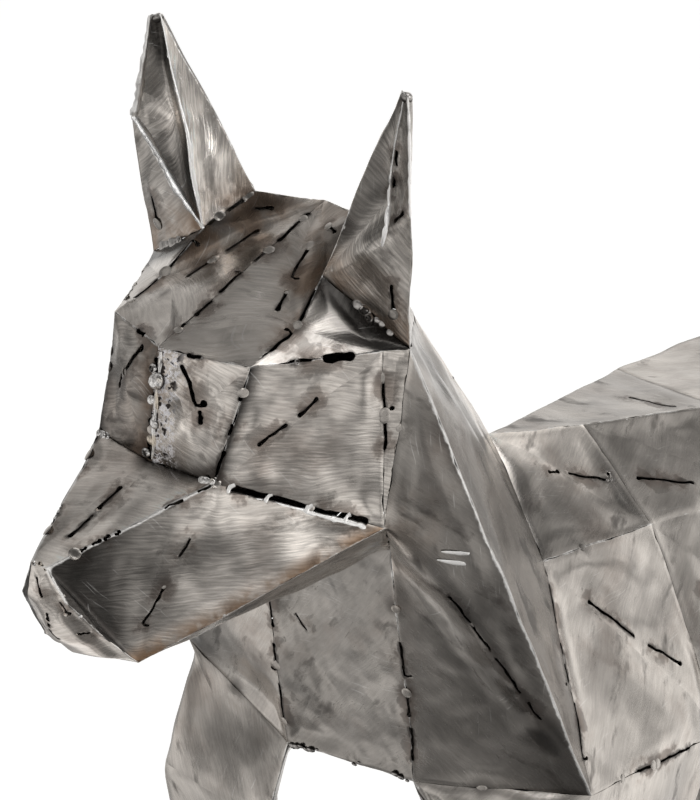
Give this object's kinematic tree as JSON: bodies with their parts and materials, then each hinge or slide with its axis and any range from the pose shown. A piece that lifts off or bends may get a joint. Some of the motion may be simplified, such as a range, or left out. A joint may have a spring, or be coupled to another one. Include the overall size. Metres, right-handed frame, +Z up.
{
  "type": "scrap metal dog sculpture",
  "caption": "Standing dog sculpture welded from faceted plates of ground scrap sheet steel, with pricked ears and burnt slits and weld tacks along the seams, on a thin steel base.",
  "frame": {"origin": "middle of the base plate's underside", "axes": "+Z up; the dog looks along -Y and its left side is +X"},
  "size_m": [0.38, 1.044, 1.0079],
  "materials": {
    "ground_steel": "bare sheet steel ground with a flap disc in arcs, lacquered, with soot and heat stains at the welds",
    "base_steel": "bare mild steel plate, ground in one direction"
  },
  "bodies": {
    "root": {"muzzle_side_left": "ground_steel", "muzzle_side_right": "ground_steel", "eye_plate_left": "ground_steel", "eye_plate_right": "ground_steel", "crown_left": "ground_steel", "crown_right": "ground_steel", "temple_left": "ground_steel", "temple_right": "ground_steel", "cheek_left": "ground_steel", "cheek_right": "ground_steel", "cheek_strap_left": "ground_steel", "cheek_strap_right": "ground_steel", "ear_cup_left": "ground_steel", "ear_cup_right": "ground_steel", "ear_inner_left": "ground_steel", "ear_inner_right": "ground_steel", "ear_back_left": "ground_steel", "ear_back_right": "ground_steel", "nape_left": "ground_steel", "nape_right": "ground_steel", "neck_rear_left": "ground_steel", "neck_rear_right": "ground_steel", "neck_side_left": "ground_steel", "neck_side_right": "ground_steel", "withers_side_left": "ground_steel", "withers_side_right": "ground_steel", "shoulder_left": "ground_steel", "shoulder_right": "ground_steel", "ribs_left": "ground_steel", "ribs_right": "ground_steel", "loin_left": "ground_steel", "loin_right": "ground_steel", "thigh_left": "ground_steel", "thigh_right": "ground_steel", "foreleg_outer_left": "ground_steel", "foreleg_outer_right": "ground_steel", "foreleg_inner_left": "ground_steel", "foreleg_inner_right": "ground_steel", "fore_paw_left": "ground_steel", "fore_paw_right": "ground_steel", "hind_leg_outer_left": "ground_steel", "hind_leg_outer_right": "ground_steel", "hind_leg_inner_left": "ground_steel", "hind_leg_inner_right": "ground_steel", "hind_paw_left": "ground_steel", "hind_paw_right": "ground_steel", "nose_cap": "ground_steel", "muzzle_top": "ground_steel", "jaw_underside": "ground_steel", "throat": "ground_steel", "back": "ground_steel", "croup": "ground_steel", "brisket": "ground_steel", "belly": "ground_steel", "groin": "ground_steel", "rump": "ground_steel", "tail": "ground_steel", "base_plate": "base_steel"}
  },
  "joints": []
}
